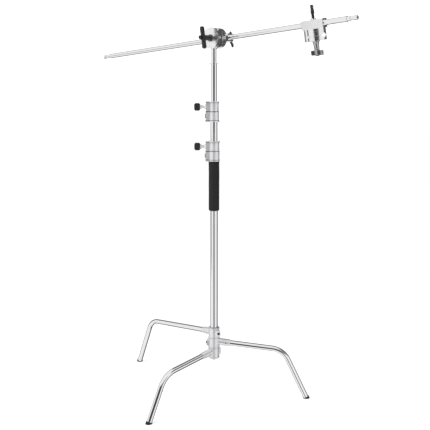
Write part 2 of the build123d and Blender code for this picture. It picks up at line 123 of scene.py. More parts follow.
screen = studio_math("MULTIPLY", screen_side, studio_math("MULTIPLY", screen_top, screen_foot))
facing = studio_dot(direction, front)
right_side = studio_ramp(studio_dot(direction, right_hand), -0.1, 0.1)
ring_start = studio_math("MULTIPLY_ADD", right_side, 0.46, -0.48)
ring_inside = studio_ramp(studio_math("SUBTRACT", ring_start, facing), -0.05, 0.05)
ring_outside = studio_ramp(facing, -0.84, -0.76)
ring = studio_math("MULTIPLY", ring_inside, ring_outside)
flag_turn = math.radians(75)
flag_rise = math.radians(31)
flag_level = flat_front * math.cos(flag_turn) + right_hand * math.sin(flag_turn)
flag_way = flag_level * math.cos(flag_rise) + Z_AXIS * math.sin(flag_rise)
flag = studio_ramp(studio_dot(direction, flag_way), 0.93, 0.97)
strip_height = -0.16
strip_azimuth = math.radians(83.65)
strip_rise = studio_math("ABSOLUTE", studio_math("SUBTRACT", height, strip_height))
strip_level = studio_ramp(strip_rise, 0.1, 0.07)
strip_turn = studio_math("ABSOLUTE", studio_math("SUBTRACT", azimuth, strip_azimuth))
strip_side = studio_ramp(strip_turn, 0.17, 0.13)
left_side = studio_math("SUBTRACT", 1.0, right_side)
strip = studio_math("MULTIPLY", left_side, studio_math("MULTIPLY", strip_level, strip_side))
flags = studio_math("MAXIMUM", studio_math("MAXIMUM", flag, strip), ring)
screen_shade = studio_math("MULTIPLY", screen, screen_dark)
flags_shade = studio_math("MULTIPLY", flags, flags_dark)
shade = studio_math("MAXIMUM", screen_shade, flags_shade)
cove = studio_math("MULTIPLY", studio_math("SUBTRACT", 1.0, shade), cove_light)
seen = studio.nodes.new("ShaderNodeLightPath").outputs["Is Camera Ray"]
light_level = studio_math("MAXIMUM", cove, studio_math("MULTIPLY", seen, seen_light))
background = studio.nodes.new("ShaderNodeBackground")
studio.links.new(light_level, background.inputs["Strength"])
studio.links.new(background.outputs[0], studio.nodes.new("ShaderNodeOutputWorld").inputs["Surface"])

softbox_data = bpy.data.lights.new("softbox", "AREA")
softbox_data.size = 1.6
softbox_data.energy = 26
softbox = bpy.data.objects.new("softbox", softbox_data)
softbox.location = Vector((-1.3, -1.5, 2.6))
softbox.rotation_euler = (Vector((0, 0, 0.6)) - softbox.location).to_track_quat("-Z", "Y").to_euler()
softbox.visible_camera = False
softbox.visible_glossy = False
bpy.context.scene.collection.objects.link(softbox)

floor_mesh = bpy.data.meshes.new("floor")
floor_reach = 14.0
floor_mesh.from_pydata(
    [(x * floor_reach, y * floor_reach, 0) for x, y in ((-1, -1), (1, -1), (1, 1), (-1, 1))],
    [],
    [(0, 1, 2, 3)],
)
floor = bpy.data.objects.new("floor", floor_mesh)
bpy.context.scene.collection.objects.link(floor)
floor_paint = bpy.data.materials.new("cove_paint")
floor_paint.use_nodes = True
floor_shader = floor_paint.node_tree.nodes["Principled BSDF"]
floor_shader.inputs["Base Color"].default_value = (0.66, 0.66, 0.66, 1)
floor_shader.inputs["Roughness"].default_value = 0.9
floor_shader.inputs["Specular IOR Level"].default_value = 0.0
floor_shader.inputs["Emission Color"].default_value = (1, 1, 1, 1)
floor_shader.inputs["Emission Strength"].default_value = 0.6
floor_mesh.materials.append(floor_paint)
floor.visible_glossy = False


# ---------------------------------------------------------------------------- column tubes
# Three drawn steel tubes that slide inside each other, ground, polished and chrome plated. Their
# cut ends are turned smooth. The wall shows only at an open end.
def surface(name, colour, metallic, roughness, grain, relief, stretch=(1, 1, 1), tint=0.9, gloss=0.5):
    """A finish whose tone, gloss and relief vary with a fine grain, `grain` cells to the metre."""
    material = bpy.data.materials.new(name)
    material.use_nodes = True
    tree = material.node_tree
    shader = tree.nodes["Principled BSDF"]
    shader.inputs["Metallic"].default_value = metallic
    shader.inputs["Specular IOR Level"].default_value = gloss
    place = tree.nodes.new("ShaderNodeTexCoord").outputs["Object"]
    mapping = tree.nodes.new("ShaderNodeMapping")
    mapping.inputs["Scale"].default_value = stretch
    tree.links.new(place, mapping.inputs["Vector"])
    fine = tree.nodes.new("ShaderNodeTexNoise")
    fine.inputs["Scale"].default_value = grain
    fine.inputs["Detail"].default_value = 4
    tree.links.new(mapping.outputs[0], fine.inputs["Vector"])
    broad = tree.nodes.new("ShaderNodeTexNoise")
    broad.inputs["Scale"].default_value = grain / 12
    tree.links.new(place, broad.inputs["Vector"])
    tone = tree.nodes.new("ShaderNodeMix")
    tone.data_type = "RGBA"
    tone.inputs[6].default_value = (*(channel * tint for channel in colour), 1)
    tone.inputs[7].default_value = (*colour, 1)
    tree.links.new(broad.outputs["Fac"], tone.inputs[0])
    tree.links.new(tone.outputs[2], shader.inputs["Base Color"])
    polish = tree.nodes.new("ShaderNodeMapRange")
    polish.inputs["To Min"].default_value = roughness * 0.7
    polish.inputs["To Max"].default_value = roughness * 1.3
    tree.links.new(fine.outputs["Fac"], polish.inputs["Value"])
    tree.links.new(polish.outputs[0], shader.inputs["Roughness"])
    bump = tree.nodes.new("ShaderNodeBump")
    bump.inputs["Strength"].default_value = relief
    bump.inputs["Distance"].default_value = 0.0004
    tree.links.new(fine.outputs["Fac"], bump.inputs["Height"])
    tree.links.new(bump.outputs[0], shader.inputs["Normal"])
    return material


def eased(piece, width, material, angle=38):
    """The piece with its sharp corners rounded by `width` and its flats shaded flat."""
    rounding = piece.modifiers.new("rounding", "BEVEL")
    rounding.width = width
    rounding.segments = 2
    rounding.limit_method = "ANGLE"
    rounding.angle_limit = math.radians(angle)
    rounding.use_clamp_overlap = True
    weighting = piece.modifiers.new("weighting", "WEIGHTED_NORMAL")
    weighting.keep_sharp = True
    for face in piece.data.polygons:
        face.use_smooth = True
    made = bpy.data.meshes.new_from_object(piece.evaluated_get(bpy.context.evaluated_depsgraph_get()))
    piece.modifiers.clear()
    piece.data = made
    made.materials.clear()
    made.materials.append(material)
    return piece


def piece_from(shape, name):
    """A new object at the origin that holds a bmesh, with its faces turned outward."""
    bmesh.ops.recalc_face_normals(shape, faces=shape.faces)
    mesh = bpy.data.meshes.new(name)
    shape.to_mesh(mesh)
    shape.free()
    piece = bpy.data.objects.new(name, mesh)
    bpy.context.scene.collection.objects.link(piece)
    return piece


def turned(shape, profile, start, along, steps=72, closed=False):
    """Add a lathed form: (distance, radius) points spun about the line from start along a way."""
    along = Vector(along).normalized()
    side = along.orthogonal().normalized()
    across = along.cross(side)
    rows = []
    for distance, radius in profile:
        centre = Vector(start) + along * distance
        count = steps if radius > 1e-6 else 1
        row = []
        for step in range(count):
            angle = 2 * math.pi * step / steps
            spoke = side * math.cos(angle) + across * math.sin(angle)
            row.append(shape.verts.new(centre + spoke * radius))
        rows.append(row)
    pairs = list(zip(rows, rows[1:]))
    if closed:
        pairs.append((rows[-1], rows[0]))
    for low, high in pairs:
        for step in range(steps):
            after = (step + 1) % steps
            foot = (low[step % len(low)], low[after % len(low)])
            head = (high[after % len(high)], high[step % len(high)])
            unique = list(dict.fromkeys(foot + head))
            if len(unique) > 2:
                shape.faces.new(unique)
    return shape


def painted(node, material):
    """Give a CAD node's own mesh a finish."""
    mesh = frame["nodes"][node].data
    mesh.materials.clear()
    mesh.materials.append(material)


def fitted(piece, body, slot, *nodes):
    """The piece moves with a body and stands for CAD nodes, which it hides. The slot is not used."""
    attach(piece, body)
    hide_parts(*nodes)
    return piece


chrome = surface("polished_chrome", (0.93, 0.93, 0.94), 1.0, 0.055, 900, 0.012, (1, 1, 0.08), 0.97)
tube_wall = 0.0011
tube_bodies = {"base_tube": "base_column", "middle_tube": "middle_riser", "top_tube": "top_riser"}
for node, body in tube_bodies.items():
    low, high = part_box(node)
    outer = (high.x - low.x) / 2
    length = high.z - low.z
    profile = ((0, outer), (length, outer), (length, outer - tube_wall), (0, outer - tube_wall))
    tube = piece_from(turned(bmesh.new(), profile, (0, 0, low.z), Z_AXIS, closed=True), f"{node}_chromed")
    fitted(eased(tube, 0.0003, chrome), body, "chrome_tube", node)

# ---------------------------------------------------------------------------- legs
# Each leg is one bent length of the same plated tube, pressed and pinned into its hub. The
# bends are drawn round a former, so the tube keeps its full section through the knee.
leg_names = ("upper", "middle", "lower")
for leg in leg_names:
    painted(f"leg_tube_{leg}", chrome)
    painted(f"leg_pin_{leg}", chrome)

# ---------------------------------------------------------------------------- feet
# A moulded rubber boot is pushed over the cut end of each leg: a thick sole that is flat on the
# floor, a plain sleeve, and a row of beads round its mouth.
foot_rubber = surface("foot_rubber", (0.022, 0.022, 0.024), 0.0, 0.62, 1400, 0.35, tint=0.7, gloss=0.35)
leg_radius = 0.009
boot_radius = 0.0101
bead_swell = 0.0003
leg_splay = math.radians(25.3)
bead_count = 3
bead_pitch = 0.0016
boot_reach = 0.02  # past the floor, before the sole is cut flat
for leg in leg_names:
    low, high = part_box(f"foot_{leg}")
    middle = (low + high) / 2
    outward = Vector((middle.x, middle.y, 0)).normalized()
    upward = (Z_AXIS * math.cos(leg_splay) - outward * math.sin(leg_splay)).normalized()
    rim = (high.z - middle.z) / math.cos(leg_splay) - boot_radius * math.tan(leg_splay)
    profile = [(0, 0), (0, leg_radius), (rim, leg_radius), (rim, boot_radius)]
    for bead in range(bead_count):
        crest = rim - bead_pitch * (bead + 0.5)
        profile += [(crest + bead_pitch * 0.35, boot_radius), (crest, boot_radius + bead_swell)]
        profile += [(crest - bead_pitch * 0.35, boot_radius)]
    profile += [(-boot_reach, boot_radius), (-boot_reach, 0)]
    boot = turned(bmesh.new(), profile, middle, upward, 48)
    whole = boot.verts[:] + boot.edges[:] + boot.faces[:]
    cut = bmesh.ops.bisect_plane(boot, geom=whole, plane_co=(0, 0, 0), plane_no=-Z_AXIS, clear_outer=True)
    sole = [edge for edge in cut["geom_cut"] if isinstance(edge, bmesh.types.BMEdge)]
    bmesh.ops.contextual_create(boot, geom=sole)
    boot_piece = eased(piece_from(boot, f"rubber_boot_{leg}"), 0.0004, foot_rubber)
    fitted(boot_piece, f"{leg}_leg", "foot_rubber", f"foot_{leg}")

# ---------------------------------------------------------------------------- leg hubs
# Three cast hubs turn on the foot of the column, one above the other. Each has a tapered socket
# for its leg on one side and a lug with a socket screw on the other. The castings are tumbled.
cast_alloy = surface("tumbled_casting", (0.9, 0.9, 0.92), 0.6, 0.34, 650, 0.12, tint=0.9)
black_oxide = surface("black_oxide", (0.05, 0.05, 0.055), 0.9, 0.34, 900, 0.08, tint=0.7)


def casting(node, body, slot, width, material):
    """The CAD casting with its corners merged and rounded."""
    shape = bmesh.new()
    shape.from_mesh(frame["nodes"][node].data)
    bmesh.ops.remove_doubles(shape, verts=shape.verts, dist=0.00001)
    bmesh.ops.dissolve_limit(
        shape, angle_limit=math.radians(0.5), verts=shape.verts, edges=shape.edges, delimit={"NORMAL"}
    )
    return fitted(eased(piece_from(shape, f"{node}_cast"), width, material), body, slot, node)


def socket_screw(name, centre, way, radius, height, material):
    """A cap screw's head: a chamfered round with a hexagon socket sunk in its top."""
    way = Vector(way).normalized()
    outline = ((0, 0), (0, radius), (height, radius), (height, radius * 0.55))
    shape = turned(bmesh.new(), outline, centre, way, 36)
    side = way.orthogonal().normalized()
    across = way.cross(side)
    half_flat = radius * 0.5 * math.cos(math.pi / 6)
    rings = []
    for depth in (height, height * 0.35):
        ring = []
        for step in range(36):
            angle = 2 * math.pi * step / 36
            flat = half_flat / math.cos((angle % (math.pi / 3)) - math.pi / 6)
            spoke = side * math.cos(angle) + across * math.sin(angle)
            ring.append(shape.verts.new(Vector(centre) + way * depth + spoke * flat))
        rings.append(ring)
    shape.verts.ensure_lookup_table()
    mouth = [vert for vert in shape.verts if abs((vert.co - Vector(centre)).dot(way) - height) < 1e-7]
    mouth = [vert for vert in mouth if (vert.co - Vector(centre) - way * height).length < radius * 0.56]
    outer_ring = [vert for vert in mouth if vert not in rings[0]]
    for low_ring, high_ring in ((outer_ring, rings[0]), (rings[0], rings[1])):
        for step in range(36):
            after = (step + 1) % 36
            shape.faces.new((low_ring[step], low_ring[after], high_ring[after], high_ring[step]))
    shape.faces.new(rings[1])
    return eased(piece_from(shape, name), radius * 0.07, material)


hub_lug_face = 0.0238
hub_screw_radius = 0.004
hub_screw_head = 0.0026
for leg in leg_names:
    casting(f"hub_{leg}", f"{leg}_leg", "cast_alloy", 0.0009, cast_alloy)
    low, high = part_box(f"hub_screw_{leg}")
    middle = (low + high) / 2
    lug_way = Vector((middle.x, middle.y, 0)).normalized()
    head_start = lug_way * hub_lug_face + Z_AXIS * middle.z
    screw = socket_screw(
        f"hub_cap_screw_{leg}", head_start, lug_way, hub_screw_radius, hub_screw_head, black_oxide
    )
    fitted(screw, f"{leg}_leg", "black_fasteners", f"hub_screw_{leg}")

# ---------------------------------------------------------------------------- base fittings
# Under the hubs a round cap and one hexagon bolt hold the stack on the column. Thin washers
# part the hubs, and a ring above them stops the stack from riding up.
washer_steel = surface("washer_steel", (0.6, 0.6, 0.62), 1.0, 0.22, 800, 0.05)
nylon = surface("turned_nylon", (0.17, 0.17, 0.18), 0.0, 0.45, 500, 0.08)
casting("bottom_cap", "base_column", "cast_alloy", 0.0005, cast_alloy)
casting("bottom_bolt", "base_column", "black_fasteners", 0.0004, black_oxide)
casting("stop_ring", "base_column", "bright_steel", 0.0004, washer_steel)
painted("hub_spacers", washer_steel)
painted("bottom_plug", nylon)

# ---------------------------------------------------------------------------- foam grip
# A sleeve of black closed-cell foam is pulled over the base tube under the lower collar. Its
# ends are soft and rounded, and its skin is slightly uneven with fine pores.
foam = surface("black_foam", (0.026, 0.026, 0.027), 0.0, 0.7, 2200, 0.75, tint=0.6, gloss=0.25)
foam_low, foam_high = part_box("foam_grip")
foam_radius = (foam_high.x - foam_low.x) / 2
foam_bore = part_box("base_tube")[1].x
foam_round = (foam_radius - foam_bore) * 0.8
foam_length = foam_high.z - foam_low.z
foam_dent = 0.00012
foam_skin = 0.0005  # the bore and what lies this near it stay smooth
sleeve_rows = 60
round_rows = 8
outline = [(0.0, foam_bore)]
for row in range(round_rows + 1):
    angle = math.pi / 2 * row / round_rows
    outline.append((foam_round * (1 - math.cos(angle)), foam_radius - foam_round * (1 - math.sin(angle))))
for row in range(1, sleeve_rows):
    outline.append((foam_round + (foam_length - 2 * foam_round) * row / sleeve_rows, foam_radius))
for distance, radius in outline[round_rows + 1 :: -1]:
    outline.append((foam_length - distance, radius))
sleeve = turned(bmesh.new(), outline, (0, 0, foam_low.z), Z_AXIS, 64, closed=True)
for vert in sleeve.verts:
    flat = Vector((vert.co.x, vert.co.y, 0))
    if flat.length > foam_bore + foam_skin:
        angle = math.atan2(flat.y, flat.x)
        dent = math.sin(3 * angle + vert.co.z * 55) + math.sin(5 * angle - vert.co.z * 90)
        vert.co -= flat.normalized() * foam_dent * (2 + dent)
grip = eased(piece_from(sleeve, "foam_grip_sleeve"), 0.0001, foam, 80)
fitted(grip, "base_column", "black_foam", "foam_grip")

# ---------------------------------------------------------------------------- lock collars
# Each riser is locked by a cast collar split into a lower clamp and an upper lock ring. Thin dark
# bands of painted shade run at its rims and along the split, and a bolt closes the clamp's lug.
# Near-black finish of the bands that paint the shade at the collars' rims and along the split.
shade_band_paint = surface("shade_band_paint", (0.07, 0.07, 0.075), 0.2, 0.4, 700, 0.08)
collar_alloy = surface("polished_casting", (0.9, 0.9, 0.92), 0.55, 0.32, 520, 0.06, tint=0.94)
lock_axis = Vector(joints["lower_knob_turn"]["axis"])
lock_angle = math.atan2(lock_axis.y, lock_axis.x)
collar_bodies = {"lower": "base_column", "upper": "middle_riser"}
collar_tube = {"lower": "base_tube", "upper": "middle_tube"}
collar_wall = 0.005
lug_half = 0.0105
lug_reach = 0.026
shade_band_depth = 0.002
foot_shade_band = 0.0034
split_shade_band = 0.0302
rim_shade_band = 0.0047
clamp_head_radius = 0.0068
clamp_head = 0.003
clamp_sink = 0.0002


def dark_band(shape, floor, height, bore, radius, half_width, reach):
    """Add a flat band round a bore, whose rim follows a collar's barrel and the lug on one side."""
    open_angle = math.asin(half_width / radius)
    points = []
    for step in range(49):
        angle = open_angle + (2 * math.pi - 2 * open_angle) * step / 48
        points.append((radius * math.cos(angle), radius * math.sin(angle)))
    points += [(reach, -half_width), (reach, half_width)]
    inner = [(x * bore / math.hypot(x, y), y * bore / math.hypot(x, y)) for x, y in points]
    rings = []
    top = floor + height
    for outline, level in ((points, floor), (points, top), (inner, top), (inner, floor)):
        ring = []
        for x, y in outline:
            turned_x = x * math.cos(lock_angle) - y * math.sin(lock_angle)
            turned_y = x * math.sin(lock_angle) + y * math.cos(lock_angle)
            ring.append(shape.verts.new((turned_x, turned_y, level)))
        rings.append(ring)
    for ring, beyond in zip(rings, rings[1:] + rings[:1]):
        for step in range(len(points)):
            after = (step + 1) % len(points)
            shape.faces.new((ring[step], ring[after], beyond[after], beyond[step]))


for name, body in collar_bodies.items():
    casting(f"{name}_collar", body, "cast_alloy", 0.0007, collar_alloy)
    low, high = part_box(f"{name}_collar")
    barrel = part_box(collar_tube[name])[1].x + collar_wall
    # Painted shade: dark bands at the foot rim, along the split and at the top rim.
    bands = bmesh.new()
    bore = barrel - shade_band_depth
    for floor_level, band_height, swell in (
        (low.z + foot_shade_band, 0.0013, 0.0009),
        (low.z + split_shade_band, 0.0016, 0.0004),
        (high.z - rim_shade_band, 0.0013, 0.0003),
    ):
        dark_band(bands, floor_level, band_height, bore, barrel + swell, lug_half + swell, lug_reach + swell)
    band_piece = eased(piece_from(bands, f"{name}_collar_shade_rings"), 0.0002, shade_band_paint)
    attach(band_piece, body)
    painted(f"{name}_bush", nylon)
    clamp_low, clamp_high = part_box(f"{name}_clamp_bolt")
    clamp_height = (clamp_low.z + clamp_high.z) / 2
    clamp_start = lock_axis * (lug_reach - clamp_sink) + Z_AXIS * clamp_height
    bolt = socket_screw(
        f"{name}_clamp_screw", clamp_start, lock_axis, clamp_head_radius, clamp_head, washer_steel
    )
    fitted(bolt, body, "plated_bolt", f"{name}_clamp_bolt")

# ---------------------------------------------------------------------------- lock knobs
# Each collar is locked by a screw with a waisted neck and a black moulded knob. The knob has a
# domed end, and rows of round ribs for the fingers. A brass pad guards the tube.
knob_black = surface("moulded_black", (0.02, 0.02, 0.022), 0.0, 0.38, 900, 0.12, tint=0.75)
brass = surface("plain_brass", (0.7, 0.52, 0.26), 1.0, 0.3, 700, 0.06)
rib_count = 20
rib_radius = 0.0013
rib_shortfall = 0.0062  # the ribs stop short of the knob's ends
knob_radius = 0.0119
knob_length = 0.0184
knob_start = 0.043
dome_height = 0.004
dome_round = 0.0045
neck_start = 0.0325
neck_length = 0.0085
neck_radius = 0.004
flare_radius = 0.007
pad_gap = 0.0008


def knob_tree(material):
    """A ring of ribs set round a knob's core, along its axis."""
    tree = bpy.data.node_groups.new("knob_ribs", "GeometryNodeTree")
    for direction, kind, label in (
        ("INPUT", "NodeSocketGeometry", "Core"),
        ("INPUT", "NodeSocketInt", "Rib count"),
        ("INPUT", "NodeSocketFloat", "Ring radius"),
        ("INPUT", "NodeSocketFloat", "Rib radius"),
        ("INPUT", "NodeSocketFloat", "Rib length"),
        ("OUTPUT", "NodeSocketGeometry", "Knob"),
    ):
        tree.interface.new_socket(label, in_out=direction, socket_type=kind)
    given = tree.nodes.new("NodeGroupInput").outputs
    ring = tree.nodes.new("GeometryNodeMeshCircle")
    rib = tree.nodes.new("GeometryNodeMeshCylinder")
    rib.inputs["Vertices"].default_value = 10
    spread = tree.nodes.new("GeometryNodeInstanceOnPoints")
    real = tree.nodes.new("GeometryNodeRealizeInstances")
    joined = tree.nodes.new("GeometryNodeJoinGeometry")
    finish = tree.nodes.new("GeometryNodeSetMaterial")
    finish.inputs["Material"].default_value = material
    result = tree.nodes.new("NodeGroupOutput")
    for source, target in (
        (given["Rib count"], ring.inputs["Vertices"]),
        (given["Ring radius"], ring.inputs["Radius"]),
        (given["Rib radius"], rib.inputs["Radius"]),
        (given["Rib length"], rib.inputs["Depth"]),
        (ring.outputs["Mesh"], spread.inputs["Points"]),
        (rib.outputs["Mesh"], spread.inputs["Instance"]),
        (spread.outputs["Instances"], joined.inputs["Geometry"]),
        (given["Core"], joined.inputs["Geometry"]),
        (joined.outputs["Geometry"], real.inputs["Geometry"]),
        (real.outputs["Geometry"], finish.inputs["Geometry"]),
        (finish.outputs["Geometry"], result.inputs["Knob"]),
    ):
        tree.links.new(source, target)
    return tree


def grown(piece, tree, sizes):
    """The plain mesh that a node tree makes of a piece, with the tree's named sizes set."""
    modifier = piece.modifiers.new(tree.name, "NODES")
    modifier.node_group = tree
    for item in tree.interface.items_tree:
        if item.item_type == "SOCKET" and item.name in sizes:
            modifier[item.identifier] = sizes[item.name]
    made = bpy.data.meshes.new_from_object(piece.evaluated_get(bpy.context.evaluated_depsgraph_get()))
    piece.modifiers.clear()
    piece.data = made
    return piece


def placed(piece, matrix):
    """The piece's mesh moved into its place, with the object left at the origin."""
    piece.data.transform(matrix)
    piece.data.update()
    return piece


def frame_at(origin, along, across):
    """The matrix of a local frame whose z is `along` and whose x is `across`."""
    along = Vector(along).normalized()
    across = (Vector(across) - along * Vector(across).dot(along)).normalized()
    third = along.cross(across)
    matrix = Matrix((across, third, along)).transposed().to_4x4()
    matrix.translation = origin
    return matrix


ribs = knob_tree(knob_black)
for name in collar_bodies:
    lock_height = joints[f"{name}_knob_turn"]["pos_m"][2]
    lock_frame = frame_at(Z_AXIS * lock_height, lock_axis, Z_AXIS)
    core_radius = knob_radius - rib_radius * 0.75
    half = knob_length / 2
    dome = [(-half, 0), (-half, core_radius * 0.8), (-half + 0.0012, core_radius)]
    for row in range(7):
        angle = math.pi / 2 * row / 6
        rise = dome_height * math.sin(angle)
        dome.append((half - dome_height + rise, core_radius - dome_round + dome_round * math.cos(angle)))
    dome.append((half, 0))
    core = piece_from(turned(bmesh.new(), dome, (0, 0, 0), Z_AXIS, 60), f"{name}_fluted_knob")
    for face in core.data.polygons:
        face.use_smooth = True
    grown(core, ribs, {
        "Rib count": rib_count,
        "Ring radius": knob_radius - rib_radius,
        "Rib radius": rib_radius,
        "Rib length": knob_length - rib_shortfall,
    })
    placed(core, lock_frame @ Matrix.Translation((0, 0, knob_start + half)))
    fitted(core, f"{name}_knob", "black_plastic", f"{name}_knob")
    tip = (Vector(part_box(f"{name}_lock_pad")[0]) + Vector(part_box(f"{name}_lock_pad")[1])) / 2
    screw_start = Vector((tip.x, tip.y, 0)).length + pad_gap
    neck = [(screw_start, 0), (screw_start, neck_radius), (neck_start, neck_radius)]
    for row in range(9):
        share = row / 8
        flare = (flare_radius - neck_radius) * share ** 2.2
        neck.append((neck_start + neck_length * share, neck_radius + flare))
    neck += [(knob_start + 0.0001, flare_radius), (knob_start + 0.0001, 0)]
    neck_shape = turned(bmesh.new(), neck, Z_AXIS * lock_height, lock_axis, 48)
    screw = piece_from(neck_shape, f"{name}_waisted_screw")
    fitted(eased(screw, 0.0003, chrome), f"{name}_knob", "bright_steel", f"{name}_lock_screw")
    painted(f"{name}_lock_pad", brass)

# ---------------------------------------------------------------------------- stud
# The top riser ends in a turned steel stud. Its root is pressed into the tube up to a shoulder,
# and its chamfered end is held by the stand head's jaws.
stud_low, stud_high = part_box("top_stud")
stud_shoulder = (stud_high.x - stud_low.x) / 2
stud_radius = 0.00795
stud_chamfer = 0.0015
stud_root = 0.0084
shoulder_height = 0.004
spigot_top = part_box("top_tube")[1].z
stud_profile = (
    (stud_low.z, 0),
    (stud_low.z, stud_root),
    (spigot_top, stud_root),
    (spigot_top, stud_shoulder),
    (spigot_top + shoulder_height, stud_shoulder),
    (spigot_top + shoulder_height, stud_radius),
    (stud_high.z - stud_chamfer, stud_radius),
    (stud_high.z, stud_radius - stud_chamfer),
    (stud_high.z, 0),
)
stud = piece_from(turned(bmesh.new(), stud_profile, (0, 0, 0), Z_AXIS), "turned_stud")
fitted(eased(stud, 0.0004, chrome), "top_riser", "bright_steel", "top_stud")

# ---------------------------------------------------------------------------- arm
# A long plated tube with a turned spigot pressed into each end. Each spigot has a waist that
# keeps a clamp from slipping off.
arm_axis = Vector(joints["arm_slide"]["axis"]).normalized()
arm_middle = Vector(joints["stand_receiver_screw_turn"]["pos_m"])
arm_radius = 0.00795
arm_low, arm_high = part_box("arm_tube")
arm_start = (arm_low.x + arm_radius * arm_axis.z - arm_middle.x) / arm_axis.x
arm_end = (arm_high.x - arm_radius * arm_axis.z - arm_middle.x) / arm_axis.x
arm_bore = arm_radius - 0.0014
arm_profile = ((arm_start, arm_radius), (arm_end, arm_radius), (arm_end, arm_bore), (arm_start, arm_bore))
arm_shape = turned(bmesh.new(), arm_profile, arm_middle, arm_axis, closed=True)
arm_chrome = surface("polished_chrome_arm", (0.93, 0.93, 0.94), 1.0, 0.055, 900, 0.012, (0.08, 1, 1), 0.97)
fitted(eased(piece_from(arm_shape, "extension_arm"), 0.0003, arm_chrome), "arm", "chrome_tube", "arm_tube")
spigot_seat = 0.025
spigot_length = 0.032
spigot_radius = 0.00635
waist_radius = 0.00475
slope = spigot_radius - waist_radius
waist_start = 0.010
waist_end = 0.022
spigot_profile = (
    (-spigot_seat, 0),
    (-spigot_seat, arm_bore),
    (0, arm_bore),
    (0, spigot_radius),
    (waist_start, spigot_radius),
    (waist_start + slope, waist_radius),
    (waist_end - slope, waist_radius),
    (waist_end, spigot_radius),
    (spigot_length - slope, spigot_radius),
    (spigot_length, waist_radius),
    (spigot_length, 0),
)
for side_name, way, reach in (("left", -1, arm_start), ("right", 1, arm_end)):
    spigot = turned(bmesh.new(), spigot_profile, arm_middle + arm_axis * reach, arm_axis * way, 60)
    spigot_piece = eased(piece_from(spigot, f"turned_spigot_{side_name}"), 0.0002, chrome)
    fitted(spigot_piece, "arm", "bright_steel", f"arm_spigot_{side_name}")

# ---------------------------------------------------------------------------- grip heads
# Each head is a cast receiver block with a round back plate, a through bolt and two grooved jaw
# discs. The discs are turned and polished, with rings of tool marks on the outer face.
head_alloy = surface("machined_head_alloy", (0.97, 0.97, 0.98), 1.0, 0.17, 600, 0.05, tint=0.95)
jaw_face_alloy = surface("turned_disc_face", (0.98, 0.98, 0.99), 1.0, 0.16, 700, 0.06, tint=0.96)
jaw_thickness = 0.0125
disc_radius = 0.03175
washer_thickness = 0.002
plate_bore = 0.0128
plate_sink = 0.0003
plate_rise = 0.0002
plate_edge = 0.0018
plate_slope = 0.0004
ring_count = 11
ring_ridge = 0.00035
first_ring = 0.0142
ring_margin = 0.0032
heads = {"stand": {}, "hung": {}}


def rings_tree(material):
    """Fine concentric rings on a disc's face, evenly spaced between two radii."""
    tree = bpy.data.node_groups.new("turned_rings", "GeometryNodeTree")
    for direction, kind, label in (
        ("INPUT", "NodeSocketGeometry", "Disc"),
        ("INPUT", "NodeSocketInt", "Ring count"),
        ("INPUT", "NodeSocketFloat", "First radius"),
        ("INPUT", "NodeSocketFloat", "Last radius"),
        ("INPUT", "NodeSocketFloat", "Ridge"),
        ("OUTPUT", "NodeSocketGeometry", "Face"),
    ):
        tree.interface.new_socket(label, in_out=direction, socket_type=kind)
    given = tree.nodes.new("NodeGroupInput").outputs
    centres = tree.nodes.new("GeometryNodeMeshLine")
    centres.inputs["Offset"].default_value = (0, 0, 0)
    index = tree.nodes.new("GeometryNodeInputIndex")
    last = tree.nodes.new("ShaderNodeMath")
    last.operation = "SUBTRACT"
    last.inputs[1].default_value = 1
    spacing = tree.nodes.new("ShaderNodeMapRange")
    circle = tree.nodes.new("GeometryNodeCurvePrimitiveCircle")
    circle.inputs["Resolution"].default_value = 72
    circle.inputs["Radius"].default_value = 1
    spread = tree.nodes.new("GeometryNodeInstanceOnPoints")
    real = tree.nodes.new("GeometryNodeRealizeInstances")
    ridge = tree.nodes.new("GeometryNodeCurvePrimitiveCircle")
    ridge.inputs["Resolution"].default_value = 6
    swept = tree.nodes.new("GeometryNodeCurveToMesh")
    joined = tree.nodes.new("GeometryNodeJoinGeometry")
    finish = tree.nodes.new("GeometryNodeSetMaterial")
    finish.inputs["Material"].default_value = material
    result = tree.nodes.new("NodeGroupOutput")
    for source, target in (
        (given["Ring count"], centres.inputs["Count"]),
        (given["Ring count"], last.inputs[0]),
        (index.outputs[0], spacing.inputs["Value"]),
        (last.outputs[0], spacing.inputs["From Max"]),
        (given["First radius"], spacing.inputs["To Min"]),
        (given["Last radius"], spacing.inputs["To Max"]),
        (centres.outputs["Mesh"], spread.inputs["Points"]),
        (circle.outputs["Curve"], spread.inputs["Instance"]),
        (spacing.outputs[0], spread.inputs["Scale"]),
        (spread.outputs["Instances"], real.inputs["Geometry"]),
        (real.outputs["Geometry"], swept.inputs["Curve"]),
        (given["Ridge"], ridge.inputs["Radius"]),
        (ridge.outputs["Curve"], swept.inputs["Profile Curve"]),
        (swept.outputs["Mesh"], joined.inputs["Geometry"]),
        (given["Disc"], joined.inputs["Geometry"]),
        (joined.outputs["Geometry"], finish.inputs["Geometry"]),
        (finish.outputs["Geometry"], result.inputs["Face"]),
    ):
        tree.links.new(source, target)
    return tree


